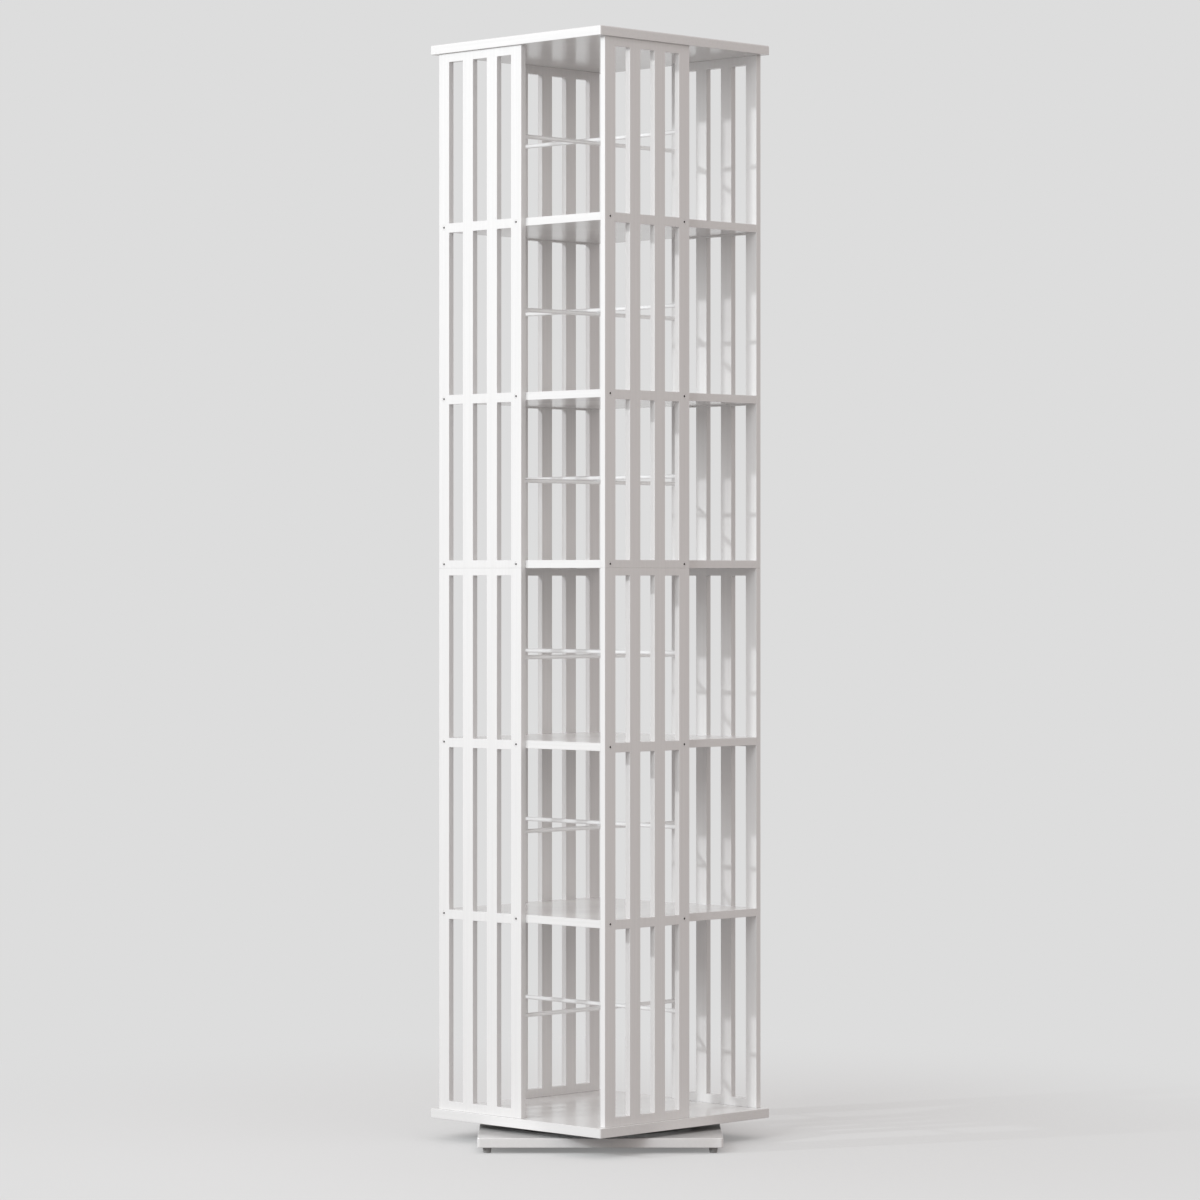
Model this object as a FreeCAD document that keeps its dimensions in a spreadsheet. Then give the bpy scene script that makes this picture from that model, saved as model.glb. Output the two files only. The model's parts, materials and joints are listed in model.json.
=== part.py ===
import FreeCAD, Part
import os
import re
import Sketcher

# A square tower of six open tiers. Four slatted panels stand around its shelves like a pinwheel,
# and a ball-bearing turntable carries it on a base plate with four feet.
# The origin is on the floor, on the axis that the tower turns about. The front face looks along -Y.

# Driving dimensions, in millimetres, degrees and counts.
SIZES = {
    # Top and bottom boards, wider than the panels
    "board_side": 460,
    "board_corner_radius": 3,
    "top_board_thickness": 18,
    "top_board_edge_radius": 3,
    "bottom_board_thickness": 18,
    # Shelves, with the panels screwed against their edges
    "shelf_side": 424,
    "shelf_thickness": 15,
    # Slatted panels
    "panel_thickness": 12,
    "slat_width": 28,
    "slat_count": 4,
    "rail_height": 18,
    "top_rail_height": 17,
    "seam_rail_height": 14,
    "bottom_rail_height": 17,
    # Height of the windows between the rails, from the top tier down
    "window_1": 308,
    "window_2": 310,
    "window_3": 298,
    "window_4": 310,
    "window_5": 310,
    "window_6": 348,
    # Round rods that cross in each tier, the left-to-right one on top of the other
    "rod_diameter": 8,
    "rod_hole_depth": 8,
    "rod_rise": 1,
    "rod_crossing_gap": 0.2,
    # Base plate, turned against the tower
    "base_side": 460,
    "base_thickness": 18,
    "base_corner_radius": 6,
    "base_edge_radius": 1.5,
    "base_angle": 45,
    # Tapered feet with a screw sunk into each
    "foot_height": 11,
    "foot_diameter": 17,
    "foot_tip_diameter": 14,
    "foot_recess": 5,
    "foot_inset": 18.5,
    # Turntable: two rings with a row of caged balls between them
    "race_radius": 150,
    "ring_width": 25,
    "ring_gap": 2,
    "ring_clearance": 1.5,
    "ring_screw_count": 6,
    "race_lip": 1.65,
    "race_clearance": 0.1,
    "ball_diameter": 6,
    "ball_count": 36,
    "cage_thickness": 1.2,
    "cage_rim": 0.6,
    # Panel screws, with a hex socket
    "screw_diameter": 5,
    "screw_length": 50,
    "screw_head_diameter": 9,
    "screw_head_height": 3,
    "screw_socket_flats": 4,
    "screw_socket_depth": 2.4,
    # Small screws of the rings and the feet
    "small_screw_diameter": 4,
    "small_screw_length": 20,
    "small_screw_head_diameter": 7.5,
    "small_screw_head_height": 2.5,
    "small_screw_socket_flats": 2.5,
    "small_screw_socket_depth": 1.6,
    # Dowels between the panels and under the top board
    "dowel_diameter": 6,
    "dowel_length": 30,
    "dowel_board_depth": 12,
    # Clearances around and past the end of what sits in a hole
    "hole_clearance": 0.1,
    "end_clearance": 0.5,
}

# What follows from the driving dimensions. Levels are heights above the floor.
WORKED_OUT = {
    "ring_height": "ball_diameter + 2 * (race_clearance + race_lip)",
    "turntable_height": "ring_height + ring_clearance",
    "cage_height": "ball_diameter + 2 * (race_clearance + cage_rim)",
    "race_groove_radius": "ball_diameter / 2 + race_clearance",
    "fixed_ring_edge": "race_radius - ring_gap / 2",
    "turning_ring_edge": "race_radius + ring_gap / 2",
    "fixed_screw_radius": "fixed_ring_edge - ring_width / 2",
    "turning_screw_radius": "turning_ring_edge + ring_width / 2",
    "ring_screw_hole_depth": "small_screw_length - ring_height + end_clearance",
    "foot_screw_low": "foot_recess - small_screw_head_height",
    "foot_screw_hole_depth": "foot_screw_low + small_screw_length - foot_height + end_clearance",
    "foot_place": "base_side / 2 - foot_inset",
    "base_top": "foot_height + base_thickness",
    "bottom_board_low": "base_top + turntable_height",
    "panels_low": "bottom_board_low + bottom_board_thickness",
    "bottom_rail_top": "panels_low + bottom_rail_height",
    "shelf_5_top": "bottom_rail_top + window_6 + rail_height",
    "shelf_4_top": "shelf_5_top + window_5 + rail_height",
    "seam_level": "shelf_4_top + window_4 + seam_rail_height",
    "shelf_3_top": "seam_level + shelf_thickness",
    "shelf_2_top": "shelf_3_top + window_3 + rail_height",
    "shelf_1_top": "shelf_2_top + window_2 + rail_height",
    "top_board_low": "shelf_1_top + window_1 + top_rail_height",
    "panel_width": "(shelf_side + slat_width) / 2",
    "slat_pitch": "(panel_width - slat_width) / (slat_count - 1)",
    "first_slat": "(shelf_side - slat_width) / 2",
    "panel_plane": "shelf_side / 2 + panel_thickness",
    "panel_middle": "shelf_side / 2 + panel_thickness / 2",
    "rod_step": "rod_diameter + rod_crossing_gap",
    "rod_half_length": "shelf_side / 2 + rod_hole_depth - end_clearance",
}

# Name, turn in degrees and starting corner of the panel on each face
FACES = [
    ("front", "0", "-shelf_side / 2", "-panel_plane"),
    ("right", "90", "panel_plane", "-shelf_side / 2"),
    ("back", "180", "shelf_side / 2", "panel_plane"),
    ("left", "270", "-panel_plane", "shelf_side / 2"),
]
FACE_COUNT = len(FACES)
# Tiers and shelves are numbered from the top down
UPPER_TIERS = list("123")
LOWER_TIERS = list("456")
TIERS = UPPER_TIERS + LOWER_TIERS
UPPER_SHELVES = list("123")
LOWER_SHELVES = list("45")
SHELVES = UPPER_SHELVES + LOWER_SHELVES
# Slat centres of the front panel on the boards and between the panels
END_SLATS = [("-first_slat", "-panel_middle"), ("0", "-panel_middle")]
INNER_SLATS = [("slat_pitch - first_slat", "-panel_middle"), ("-slat_pitch", "-panel_middle")]
FOOT_SIDES = ["right", "back", "left", "front"]
CORNER_COUNT = len(FOOT_SIDES)
CUTS = ["PartDesign::Pocket", "PartDesign::Groove"]
UP = FreeCAD.Vector(0, 0, 1)
TOLERANCE = 1e-6

doc = FreeCAD.newDocument("media_tower")
sheet = doc.addObject("Spreadsheet::Sheet", "Sizes")
for row, (alias, size) in enumerate(SIZES.items(), start=1):
    sheet.set(f"A{row}", alias.replace("_", " "))
    sheet.set(f"B{row}", str(size))
    sheet.setAlias(f"B{row}", alias)
doc.recompute()
pieces = []


def formula(text):
    """Writes every size named in a text as a reference to its cell."""

    def reference(match):
        word = match[0]
        if word in WORKED_OUT:
            return f"({formula(WORKED_OUT[word])})"
        if word in SIZES:
            return f"Sizes.{word}"
        return word

    return re.sub(r"[a-z][a-z_0-9]*", reference, text)


def value(text):
    """The number that a formula gives at the present sizes."""
    return float(sheet.evalExpression(formula(text)))


def put(thing, label, x="0", y="0", z="0", turn=None):
    """Names a sub-part and ties its place and its turn about the vertical to the sizes."""
    thing.Label = label
    for axis, text in zip("xyz", (x, y, z)):
        thing.setExpression(f"Placement.Base.{axis}", formula(text))
    if turn is not None:
        thing.setExpression("Placement.Rotation.Angle", formula(f"({turn}) * 1 deg"))
    pieces.append(thing)


def new_body(name):
    """A body that may hold several separate solids."""
    body = doc.addObject("PartDesign::Body", name)
    body.AllowCompound = True
    return body


def origin_part(body, role):
    """One of a body's own origin planes or axes."""
    return next(part for part in body.Origin.OriginFeatures if part.Role == role)


def new_sketch(body, plane, offset="0"):
    """A sketch on an origin plane, moved along the plane's normal."""
    sketch = body.newObject("Sketcher::SketchObject", "Sketch")
    sketch.AttachmentSupport = [(origin_part(body, plane), "")]
    sketch.MapMode = "FlatFace"
    sketch.setExpression("AttachmentOffset.Base.z", formula(offset))
    return sketch


def hold(sketch, element, vertex, x, y):
    """Holds a vertex of a sketch at two formulas, measured from the sketch's origin."""
    for kind, text, axis in (("DistanceX", x, -2), ("DistanceY", y, -1)):
        if text == "0":
            sketch.addConstraint(Sketcher.Constraint("PointOnObject", element, vertex, axis))
            continue
        distance = value(text)
        if distance > 0:
            index = sketch.addConstraint(Sketcher.Constraint(kind, -1, 1, element, vertex, distance))
            sketch.setExpression(f"Constraints[{index}]", formula(text))
        else:
            index = sketch.addConstraint(Sketcher.Constraint(kind, element, vertex, -1, 1, -distance))
            sketch.setExpression(f"Constraints[{index}]", formula(f"-({text})"))


def outline(sketch, corners):
    """Draws a closed outline of straight lines through corners given as pairs of formulas."""
    points = [FreeCAD.Vector(value(x), value(y), 0) for x, y in corners]
    first = sketch.GeometryCount
    count = len(points)
    for number in range(count):
        sketch.addGeometry(Part.LineSegment(points[number], points[(number + 1) % count]))
    for number, (x, y) in enumerate(corners):
        following = first + (number + 1) % count
        sketch.addConstraint(Sketcher.Constraint("Coincident", first + number, 2, following, 1))
        hold(sketch, first + number, 1, x, y)


def rectangle(sketch, left, right, low, high):
    """Draws a rectangle between four formulas."""
    outline(sketch, [(left, low), (right, low), (right, high), (left, high)])


def square(sketch, side):
    """Draws a square about the sketch's origin."""
    rectangle(sketch, f"-{side} / 2", f"{side} / 2", f"-{side} / 2", f"{side} / 2")


def hexagon(sketch, x, y, flats):
    """Draws a hexagon about a point from its width across the flats."""
    reach = f"{flats} / 2 / cos(30 deg)"
    angles = [15 + 60 * number for number in range(6)]
    outline(sketch, [(f"{x} + {reach} * cos({a} deg)", f"{y} + {reach} * sin({a} deg)") for a in angles])


def circles(sketch, radius, spots):
    """Draws circles of one radius about points given as pairs of formulas."""
    for x, y in spots:
        centre = FreeCAD.Vector(value(x), value(y), 0)
        element = sketch.addGeometry(Part.Circle(centre, UP, value(radius)))
        index = sketch.addConstraint(Sketcher.Constraint("Radius", element, value(radius)))
        sketch.setExpression(f"Constraints[{index}]", formula(radius))
        hold(sketch, element, 3, x, y)


def pad(body, sketch, length, along_normal=True):
    """Raises a sketch into a solid."""
    feature = body.newObject("PartDesign::Pad", "Pad")
    feature.Profile = sketch
    feature.Reversed = not along_normal
    feature.setExpression("Length", formula(length))
    return feature


def pocket(body, sketch, depth=None, along_normal=False):
    """Cuts a sketch into a solid, right through where no depth is given."""
    feature = body.newObject("PartDesign::Pocket", "Pocket")
    feature.Profile = sketch
    feature.Reversed = along_normal
    if depth is None:
        feature.Type = "ThroughAll"
    else:
        feature.setExpression("Length", formula(depth))
    return feature


def spin(body, kind, sketch):
    """Turns a sketch about the vertical into a Revolution or a Groove."""
    feature = body.newObject(f"PartDesign::{kind}", kind)
    feature.Profile = sketch
    feature.ReferenceAxis = (sketch, ["V_Axis"])
    feature.Angle = 360
    return feature


def around(body, originals, count):
    """Repeats features evenly about the vertical axis."""
    pattern = body.newObject("PartDesign::PolarPattern", "Around")
    pattern.Originals = originals
    pattern.Axis = (origin_part(body, "Z_Axis"), [""])
    pattern.Angle = 360
    pattern.setExpression("Occurrences", formula(count))
    body.Tip = pattern
    return pattern


def round_edges(body, base, radius, chosen):
    """Rounds the chosen edges of a feature."""
    doc.recompute()
    names = [f"Edge{number}" for number, edge in enumerate(base.Shape.Edges, start=1) if chosen(edge)]
    fillet = body.newObject("PartDesign::Fillet", "Fillet")
    fillet.Base = (base, names)
    fillet.setExpression("Radius", formula(radius))
    return fillet


def upright(edge):
    """True for an edge that stands vertically."""
    box = edge.BoundBox
    return box.ZLength > TOLERANCE and box.DiagonalLength - box.ZLength < TOLERANCE


def level_at(*heights):
    """A test for edges that lie flat at one of some heights."""

    def lies_flat(edge):
        box = edge.BoundBox
        return box.ZLength < TOLERANCE and any(abs(box.ZMin - height) < TOLERANCE for height in heights)

    return lies_flat


def add_screws(body, plane, offset, spots, size, count, along_normal):
    """Adds screws with a hex socket, heads on a plane, repeated about the vertical axis."""
    heads = new_sketch(body, plane, offset)
    circles(heads, f"{size}_head_diameter / 2", spots)
    shanks = new_sketch(body, plane, offset)
    circles(shanks, f"{size}_diameter / 2", spots)
    sockets = new_sketch(body, plane, offset)
    for x, y in spots:
        hexagon(sockets, x, y, f"{size}_socket_flats")
    features = [
        pad(body, heads, f"{size}_head_height", along_normal),
        pad(body, shanks, f"{size}_length", along_normal),
        pocket(body, sockets, f"{size}_socket_depth", along_normal),
    ]
    around(body, features, count)


def cut_screw_holes(body, plane, offset, spots, size, along_normal):
    """Cuts a seat for each head, flush with a plane, and a hole right through for each shank."""
    seats = new_sketch(body, plane, offset)
    circles(seats, f"{size}_head_diameter / 2 + hole_clearance", spots)
    shanks = new_sketch(body, plane, offset)
    circles(shanks, f"{size}_diameter / 2 + hole_clearance", spots)
    seat = pocket(body, seats, f"{size}_head_height", along_normal)
    return [seat, pocket(body, shanks, None, along_normal)]


def cut_blind_holes(body, plane, offset, spots, diameter, depth, along_normal=False):
    """Cuts holes of a given depth with clearance around what goes into them."""
    sketch = new_sketch(body, plane, offset)
    circles(sketch, f"{diameter} / 2 + hole_clearance", spots)
    return pocket(body, sketch, depth, along_normal)


def window_low(tier):
    """Level of the lower edge of a tier's windows."""
    return f"shelf_{tier}_top" if tier in SHELVES else "bottom_rail_top"


def rod_level(tier, on_top):
    """Level of a rod's axis, just above the middle of its tier's windows."""
    step = "rod_step" if on_top else "0"
    return f"{window_low(tier)} + window_{tier} / 2 + rod_rise + {step}"


def make_base_plate():
    body = new_body("base_plate")
    sketch = new_sketch(body, "XY_Plane")
    square(sketch, "base_side")
    plate = pad(body, sketch, "base_thickness")
    plate = round_edges(body, plate, "base_corner_radius", upright)
    flat = level_at(0, value("base_thickness"))
    round_edges(body, plate, "base_edge_radius", flat)
    corner = [("foot_place", "foot_place")]
    depth = "foot_screw_hole_depth"
    hole = cut_blind_holes(body, "XY_Plane", "0", corner, "small_screw_diameter", depth, True)
    around(body, [hole], str(CORNER_COUNT))
    spot = [("fixed_screw_radius", "0")]
    depth = "ring_screw_hole_depth"
    hole = cut_blind_holes(body, "XY_Plane", "base_thickness", spot, "small_screw_diameter", depth)
    around(body, [hole], "ring_screw_count")
    put(body, "base_plate", z="foot_height", turn="base_angle")


def make_feet():
    for number, side in enumerate(FOOT_SIDES):
        body = new_body(f"foot_{side}")
        sketch = new_sketch(body, "XZ_Plane")
        hole = "small_screw_diameter / 2 + hole_clearance"
        recess = "small_screw_head_diameter / 2 + hole_clearance"
        profile = [
            (recess, "0"),
            ("foot_tip_diameter / 2", "0"),
            ("foot_diameter / 2", "foot_height"),
            (hole, "foot_height"),
            (hole, "foot_recess"),
            (recess, "foot_recess"),
        ]
        outline(sketch, profile)
        spin(body, "Revolution", sketch)
        angle = f"(base_angle - 45 + 90 * {number}) * 1 deg"
        reach = "foot_place * sqrt(2)"
        put(body, f"foot_{side}", f"{reach} * cos({angle})", f"{reach} * sin({angle})")

    body = new_body("foot_screws")
    corner = [("foot_place", "foot_place")]
    add_screws(body, "XY_Plane", "foot_screw_low", corner, "small_screw", str(CORNER_COUNT), True)
    put(body, "foot_screws", turn="base_angle")


def make_ring(label, inner, outer, low, high, screw_radius, head_level, heads_point_up, **place):
    """A turntable ring with a ball groove in the edge that faces the other ring."""
    body = new_body(label)
    section = new_sketch(body, "XZ_Plane")
    rectangle(section, inner, outer, low, high)
    spin(body, "Revolution", section)
    race = new_sketch(body, "XZ_Plane")
    circles(race, "race_groove_radius", [("race_radius", "turntable_height / 2")])
    spin(body, "Groove", race)
    spot = [(screw_radius, "0")]
    holes = cut_screw_holes(body, "XY_Plane", head_level, spot, "small_screw", heads_point_up)
    around(body, holes, "ring_screw_count")
    put(body, label, z="base_top", **place)


def make_ring_screws(label, radius, head_level, along_normal, **place):
    body = new_body(label)
    spot = [(radius, "0")]
    add_screws(body, "XY_Plane", head_level, spot, "small_screw", "ring_screw_count", along_normal)
    put(body, label, z="base_top", **place)


def make_turntable():
    fixed_inner = "fixed_ring_edge - ring_width"
    turning_outer = "turning_ring_edge + ring_width"
    make_ring("turntable_fixed_ring", fixed_inner, "fixed_ring_edge", "0", "ring_height",
              "fixed_screw_radius", "ring_height", False, turn="base_angle")
    make_ring_screws("fixed_ring_screws", "fixed_screw_radius", "ring_height", False, turn="base_angle")
    make_ring("turntable_turning_ring", "turning_ring_edge", turning_outer, "ring_clearance",
              "turntable_height", "turning_screw_radius", "ring_clearance", True)
    make_ring_screws("turning_ring_screws", "turning_screw_radius", "ring_clearance", True)

    body = new_body("turntable_balls")
    ball = body.newObject("PartDesign::AdditiveSphere", "Ball")
    ball.setExpression("Radius", formula("ball_diameter / 2"))
    ball.setExpression("Placement.Base.x", formula("race_radius"))
    ball.setExpression("Placement.Base.z", formula("turntable_height / 2"))
    around(body, [ball], "ball_count")
    put(body, "turntable_balls", z="base_top")

    body = new_body("ball_cage")
    section = new_sketch(body, "XZ_Plane")
    low = "(turntable_height - cage_height) / 2"
    high = "(turntable_height + cage_height) / 2"
    rectangle(section, "race_radius - cage_thickness / 2", "race_radius + cage_thickness / 2", low, high)
    spin(body, "Revolution", section)
    holes = new_sketch(body, "YZ_Plane", "race_radius + cage_thickness")
    circles(holes, "race_groove_radius", [("0", "turntable_height / 2")])
    hole = pocket(body, holes, "2 * cage_thickness")
    around(body, [hole], "ball_count")
    put(body, "ball_cage", z="base_top")


def make_board(label, thickness, low):
    """A square board with rounded corners, given back for more cuts."""
    body = new_body(label)
    sketch = new_sketch(body, "XY_Plane")
    square(sketch, "board_side")
    board = pad(body, sketch, thickness)
    round_edges(body, board, "board_corner_radius", upright)
    put(body, label, z=low)
    return body


def make_bottom_board():
    body = make_board("bottom_board", "bottom_board_thickness", "bottom_board_low")
    holes = cut_screw_holes(body, "XY_Plane", "0", END_SLATS, "screw", True)
    around(body, holes, str(FACE_COUNT))
    spot = [("turning_screw_radius", "0")]
    depth = "ring_screw_hole_depth"
    hole = cut_blind_holes(body, "XY_Plane", "0", spot, "small_screw_diameter", depth, True)
    around(body, [hole], "ring_screw_count")

    body = new_body("bottom_board_screws")
    add_screws(body, "XY_Plane", "0", END_SLATS, "screw", str(FACE_COUNT), True)
    put(body, "bottom_board_screws", z="bottom_board_low")


def make_top_board():
    body = make_board("top_board", "top_board_thickness", "top_board_low")
    round_edges(body, body.Tip, "top_board_edge_radius", level_at(value("top_board_thickness")))
    depth = "dowel_board_depth + end_clearance"
    hole = cut_blind_holes(body, "XY_Plane", "0", END_SLATS, "dowel_diameter", depth, True)
    around(body, [hole], str(FACE_COUNT))


def make_dowels(label, spots, low):
    body = new_body(label)
    sketch = new_sketch(body, "XY_Plane")
    circles(sketch, "dowel_diameter / 2", spots)
    around(body, [pad(body, sketch, "dowel_length")], str(FACE_COUNT))
    put(body, label, z=low)


def make_shelves():
    for number in SHELVES:
        label = f"shelf_{number}"
        body = new_body(label)
        sketch = new_sketch(body, "XY_Plane")
        square(sketch, "shelf_side")
        pad(body, sketch, "shelf_thickness")
        middle = "shelf_thickness / 2"
        spots = [("-first_slat", middle), ("0", middle)]
        depth = "screw_length - panel_thickness + end_clearance"
        hole = cut_blind_holes(body, "XZ_Plane", "shelf_side / 2", spots, "screw_diameter", depth)
        around(body, [hole], str(FACE_COUNT))
        put(body, label, z=f"shelf_{number}_top - shelf_thickness")

        label = f"shelf_{number}_screws"
        body = new_body(label)
        spots = [("-first_slat", "0"), ("0", "0")]
        add_screws(body, "XZ_Plane", "panel_plane", spots, "screw", str(FACE_COUNT), False)
        put(body, label, z=f"shelf_{number}_top - shelf_thickness / 2")


def make_panel(label, face, low, height, tiers, shelves, low_holes, high_holes):
    """A slatted panel that starts at its own corner, with its outer face on the sketches' plane."""
    side, turn, x, y = face
    body = new_body(label)
    blank = new_sketch(body, "XZ_Plane")
    rectangle(blank, "0", "panel_width", "0", height)
    pad(body, blank, "panel_thickness", along_normal=False)

    column = new_sketch(body, "XZ_Plane")
    for tier in tiers:
        window = f"{window_low(tier)} - {low}"
        rectangle(column, "slat_width", "slat_pitch", window, f"{window} + window_{tier}")
    cut = pocket(body, column)
    windows = body.newObject("PartDesign::LinearPattern", "Windows")
    windows.Originals = [cut]
    windows.Direction = (origin_part(body, "X_Axis"), [""])
    windows.setExpression("Length", formula("(slat_count - 2) * slat_pitch"))
    windows.setExpression("Occurrences", formula("slat_count - 1"))
    body.Tip = windows

    first = "slat_width / 2"
    last = "panel_width - slat_width / 2"
    levels = [f"shelf_{shelf}_top - shelf_thickness / 2 - {low}" for shelf in shelves]
    spots = [(slat, level) for slat in (first, last) for level in levels]
    cut_screw_holes(body, "XZ_Plane", "0", spots, "screw", False)

    on_top = side in ("left", "right")
    spots = [(last, f"{rod_level(tier, on_top)} - {low}") for tier in tiers]
    cut_blind_holes(body, "XZ_Plane", "-panel_thickness", spots, "rod_diameter", "rod_hole_depth", True)

    for end, (slats, diameter, depth) in (("0", low_holes), (height, high_holes)):
        spots = [(f"{first} + {slat} * slat_pitch", "panel_thickness / 2") for slat in slats]
        cut_blind_holes(body, "XY_Plane", end, spots, diameter, depth, along_normal=end == "0")
    put(body, label, x, y, low, turn)


def make_panels():
    ends = ("0", "(slat_count - 1)")
    inner = ("1", "(slat_count - 2)")
    floor_screws = (ends, "screw_diameter", "screw_length - bottom_board_thickness + end_clearance")
    seam_dowels = (inner, "dowel_diameter", "dowel_length / 2 + end_clearance")
    top_dowels = (ends, "dowel_diameter", "dowel_length - dowel_board_depth + end_clearance")
    for face in FACES:
        make_panel(f"lower_panel_{face[0]}", face, "panels_low", "seam_level - panels_low",
                   LOWER_TIERS, LOWER_SHELVES, floor_screws, seam_dowels)
        make_panel(f"upper_panel_{face[0]}", face, "seam_level", "top_board_low - seam_level",
                   UPPER_TIERS, UPPER_SHELVES, seam_dowels, top_dowels)


def make_rod(label, turned, x, y, level):
    rod = doc.addObject("Part::Cylinder", label)
    rod.setExpression("Radius", formula("rod_diameter / 2"))
    rod.setExpression("Height", formula("2 * rod_half_length"))
    rod.Placement = FreeCAD.Placement(FreeCAD.Vector(), turned)
    put(rod, label, x, y, level)


def make_rods():
    along_y = FreeCAD.Rotation(FreeCAD.Vector(1, 0, 0), -90)
    along_x = FreeCAD.Rotation(FreeCAD.Vector(0, 1, 0), 90)
    for tier in TIERS:
        make_rod(f"tier_{tier}_rod_front_back", along_y, "0", "-rod_half_length", rod_level(tier, False))
        make_rod(f"tier_{tier}_rod_left_right", along_x, "-rod_half_length", "0", rod_level(tier, True))


def check_document():
    """Stops at an object that failed, a cut that removed nothing or a sub-part with no sound shape."""
    doc.recompute()
    for thing in doc.Objects:
        if "Invalid" in thing.State or "Error" in thing.State:
            raise RuntimeError(f"{thing.Label} failed: {thing.State}")
        if thing.TypeId in CUTS and thing.Shape.Volume > thing.BaseFeature.Shape.Volume - TOLERANCE:
            raise RuntimeError(f"{thing.Label} cuts nothing")
    for piece in pieces:
        if piece.Shape.isNull() or not piece.Shape.isValid():
            raise RuntimeError(f"{piece.Label} has no sound shape")


def write_parts():
    os.makedirs("parts", exist_ok=True)
    for piece in pieces:
        piece.Shape.exportStep(os.path.join("parts", f"{piece.Label}.step"))


make_base_plate()
make_feet()
make_turntable()
make_bottom_board()
make_top_board()
make_dowels("top_dowels", END_SLATS, "top_board_low + dowel_board_depth - dowel_length")
make_dowels("seam_dowels", INNER_SLATS, "seam_level - dowel_length / 2")
make_shelves()
make_panels()
make_rods()
check_document()
write_parts()
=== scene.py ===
import json
import math
from functools import partial

import bpy
from bpy.props import FloatProperty, FloatVectorProperty, IntProperty, PointerProperty
from mathutils import Matrix, Vector


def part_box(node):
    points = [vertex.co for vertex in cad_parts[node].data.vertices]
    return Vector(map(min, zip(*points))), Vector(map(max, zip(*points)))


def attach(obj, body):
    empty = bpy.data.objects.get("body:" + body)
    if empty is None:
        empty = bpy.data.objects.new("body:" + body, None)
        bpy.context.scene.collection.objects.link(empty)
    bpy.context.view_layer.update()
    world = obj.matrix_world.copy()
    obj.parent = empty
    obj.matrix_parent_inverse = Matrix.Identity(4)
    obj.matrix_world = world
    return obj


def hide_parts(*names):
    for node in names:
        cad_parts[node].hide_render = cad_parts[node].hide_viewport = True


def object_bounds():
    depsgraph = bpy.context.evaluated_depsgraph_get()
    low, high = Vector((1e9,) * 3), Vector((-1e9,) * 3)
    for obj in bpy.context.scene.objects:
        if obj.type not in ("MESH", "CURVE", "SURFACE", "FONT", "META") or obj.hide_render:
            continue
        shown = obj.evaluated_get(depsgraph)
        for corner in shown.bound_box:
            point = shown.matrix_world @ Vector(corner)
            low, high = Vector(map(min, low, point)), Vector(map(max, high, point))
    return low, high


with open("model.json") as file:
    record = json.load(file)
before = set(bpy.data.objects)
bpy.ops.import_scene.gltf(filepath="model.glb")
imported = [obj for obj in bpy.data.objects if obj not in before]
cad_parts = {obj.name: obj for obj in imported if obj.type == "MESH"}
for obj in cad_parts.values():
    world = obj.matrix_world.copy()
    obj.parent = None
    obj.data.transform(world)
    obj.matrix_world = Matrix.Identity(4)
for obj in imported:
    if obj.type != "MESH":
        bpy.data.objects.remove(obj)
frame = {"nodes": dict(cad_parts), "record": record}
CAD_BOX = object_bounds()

bl_info = {
    "name": "Rotating Media Tower",
    "version": (1, 0, 0),
    "blender": (4, 5, 0),
    "location": "3D View > Sidebar > Media Tower",
    "description": "A white tower of slatted panels and shelves that turns on a footed base",
    "category": "Add Mesh",
}

RECORD = frame["record"]
BODY_OF = {node: body for body, nodes in RECORD["behaviour"]["bodies"].items() for node in nodes}

# Quarter turns of the panel on each face; the front face looks along -Y.
FACES = {"front": 0, "right": 1, "back": 2, "left": 3}
SHELVES = "12345"
TIERS = "123456"
ROD_WAYS = ("front_back", "left_right")

# Numbered from the top: a panel's tiers, the shelves that it is screwed to and, from the bottom up,
# the shelves that part its windows.
PANEL_TIERS = {"lower": "456", "upper": "123"}
PANEL_SCREWS = {"lower": "45", "upper": "123"}
PANEL_RAILS = {"lower": "54", "upper": "21"}

# Directions in which a hole opens, as turns of a hole that opens upwards.
OPENS_UP = Matrix.Identity(4)
OPENS_DOWN = Matrix.Rotation(math.pi, 4, "X")
OPENS_FORWARD = Matrix.Rotation(math.pi / 2, 4, "X")
OPENS_BACK = Matrix.Rotation(-math.pi / 2, 4, "X")

ROUND_STEPS = 36
RING_STEPS = 4 * ROUND_STEPS
ARC_STEPS = 7
EDGE_STEPS = 3
FLUTE_STEPS = 3        # every third point around a dowel lies in a flute
OVERSHOOT = 0.0005     # how far a cut runs past the surface
TINY = OVERSHOOT / 10
SMOOTH_ANGLE = math.radians(25)
FACES_DOWN = -0.99     # a face that looks down has its normal's Z below this
SCREW_TIP = 4          # length of a screw's taper, in chamfers
SOCKET_REACH = 0.6     # a hex socket stays within this share of its width
GROOVE_PLAY = 0.25     # room around the balls, as a share of the rings' chamfer
# Faces inside a hex socket take the near-black socket finish: dark bare steel, and painted shade of
# the deep recess.
SOCKET_MARK = "socket"

# Turns of the points along a quarter of a round.
QUARTER = [math.pi / 2 * step / ARC_STEPS for step in range(ARC_STEPS + 1)]

# Kinds of inputs that the Geometry Nodes trees take.
LENGTH, TURN, SPOT = ("Float", "DISTANCE"), ("Float", "ANGLE"), ("Vector", "TRANSLATION")
WHOLE, SHAPE, FINISH = ("Int", ""), ("Object", ""), ("Material", "")

# Each lamp's name, its kind and the settings that it follows.
LAMPS = (("Key light", "POINT", "key"), ("Soft box", "AREA", "soft"), ("Side fill", "AREA", "fill"))


def length(label, description, default):
    """A property that holds a length in metres."""
    return FloatProperty(name=label, description=description, default=default, min=0.0,
                         precision=5, unit="LENGTH")


def colour(label, description, default):
    """A property that holds a colour."""
    return FloatVectorProperty(name=label, description=description, default=default, size=3,
                               min=0.0, max=1.0, subtype="COLOR")


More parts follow.
